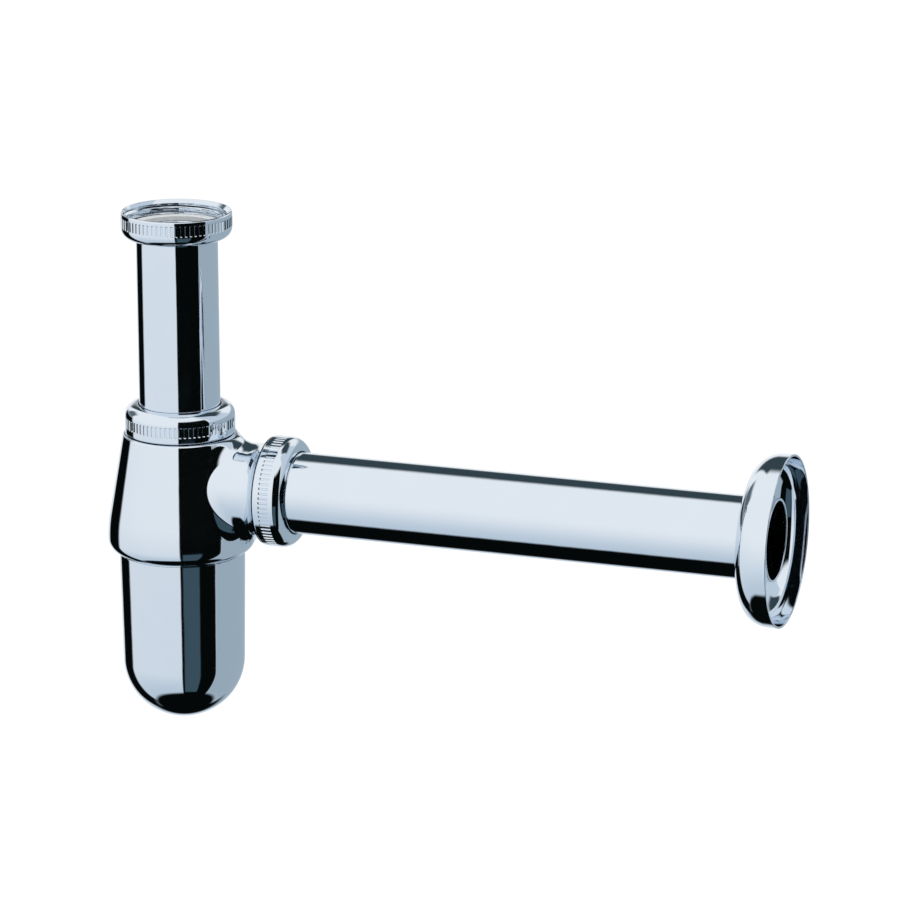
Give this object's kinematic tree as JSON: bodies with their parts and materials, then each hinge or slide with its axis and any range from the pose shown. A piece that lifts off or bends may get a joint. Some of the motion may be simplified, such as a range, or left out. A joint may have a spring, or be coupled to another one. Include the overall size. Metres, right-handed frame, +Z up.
{
  "type": "bottle trap",
  "caption": "Chrome-plated brass bottle trap for a washbasin: inlet tube with ribbed nut, bell-shaped body, round cup, side outlet tube and a wall flange",
  "frame": {"origin": "centre of the washer's top face inside the inlet nut, on the inlet axis", "axes": "+Z up along the inlet axis towards the basin waste, +X along the outlet tube towards the wall, +Y completes the right-handed frame"},
  "size_m": [0.2757, 0.066, 0.2058],
  "materials": {
    "chrome_plate": "bright polished chrome on brass",
    "black_rubber": "matte black rubber",
    "pale_plastic": "pale grey washer plastic"
  },
  "bodies": {
    "inlet_nut": {"inlet_nut": "chrome_plate"},
    "inlet_washer": {"inlet_washer": "pale_plastic"},
    "inlet_tube": {"inlet_tube": "chrome_plate"},
    "body_nut": {"body_nut": "chrome_plate"},
    "body_slip_ring": {"body_slip_ring": "pale_plastic"},
    "body_seal": {"body_seal": "black_rubber"},
    "trap_body": {"trap_body": "chrome_plate"},
    "cup_gasket": {"cup_gasket": "black_rubber"},
    "cup": {"cup": "chrome_plate"},
    "outlet_nut": {"outlet_nut": "chrome_plate"},
    "outlet_slip_ring": {"outlet_slip_ring": "pale_plastic"},
    "outlet_seal": {"outlet_seal": "black_rubber"},
    "outlet_tube": {"outlet_tube": "chrome_plate"},
    "wall_flange": {"wall_flange": "chrome_plate"}
  },
  "joints": [
    {"name": "inlet_nut_slide", "type": "slide", "parent": "inlet_nut", "child": "inlet_washer", "axis": [0, 0, 1], "range_m": [0, 0.045]},
    {"name": "inlet_swivel", "type": "hinge", "parent": "inlet_washer", "child": "inlet_tube", "pos_m": [0, 0, 0], "axis": [0, 0, 1], "continuous": true},
    {"name": "height_slide", "type": "slide", "parent": "inlet_tube", "child": "body_seal", "axis": [0, 0, -1], "range_m": [-0.014, 0.04]},
    {"name": "body_swivel", "type": "hinge", "parent": "body_seal", "child": "trap_body", "pos_m": [0, 0, 0], "axis": [0, 0, 1], "continuous": true},
    {"name": "body_nut_travel", "type": "slide", "parent": "trap_body", "child": "body_slip_ring", "axis": [0, 0, 1], "range_m": [0, 0.00694]},
    {"name": "body_nut_turn", "type": "hinge", "parent": "body_slip_ring", "child": "body_nut", "pos_m": [0, 0, 0], "axis": [0, 0, 1], "range_deg": [0, 1080]},
    {"name": "cup_travel", "type": "slide", "parent": "trap_body", "child": "cup_gasket", "axis": [0, 0, -1], "range_m": [0, 0.00701]},
    {"name": "cup_turn", "type": "hinge", "parent": "cup_gasket", "child": "cup", "pos_m": [0, 0, 0], "axis": [0, 0, -1], "range_deg": [0, 1260]},
    {"name": "outlet_nut_travel", "type": "slide", "parent": "trap_body", "child": "outlet_slip_ring", "axis": [1, 0, 0], "range_m": [0, 0.00694]},
    {"name": "outlet_nut_turn", "type": "hinge", "parent": "outlet_slip_ring", "child": "outlet_nut", "pos_m": [0, 0, -0.1036], "axis": [1, 0, 0], "range_deg": [0, 1080]},
    {"name": "outlet_swivel", "type": "hinge", "parent": "trap_body", "child": "outlet_seal", "pos_m": [0, 0, -0.1036], "axis": [1, 0, 0], "continuous": true},
    {"name": "outlet_slide", "type": "slide", "parent": "outlet_seal", "child": "outlet_tube", "axis": [1, 0, 0], "range_m": [-0.006, 0.012]},
    {"name": "flange_slide", "type": "slide", "parent": "outlet_tube", "child": "wall_flange", "axis": [1, 0, 0], "range_m": [-0.16, 0]}
  ],
  "couplings": [
    {"joint": "body_nut_travel", "follows": "body_nut_turn", "m_per_rad": 0.00036749},
    {"joint": "cup_travel", "follows": "cup_turn", "m_per_rad": 0.00031831},
    {"joint": "outlet_nut_travel", "follows": "outlet_nut_turn", "m_per_rad": 0.00036749}
  ]
}
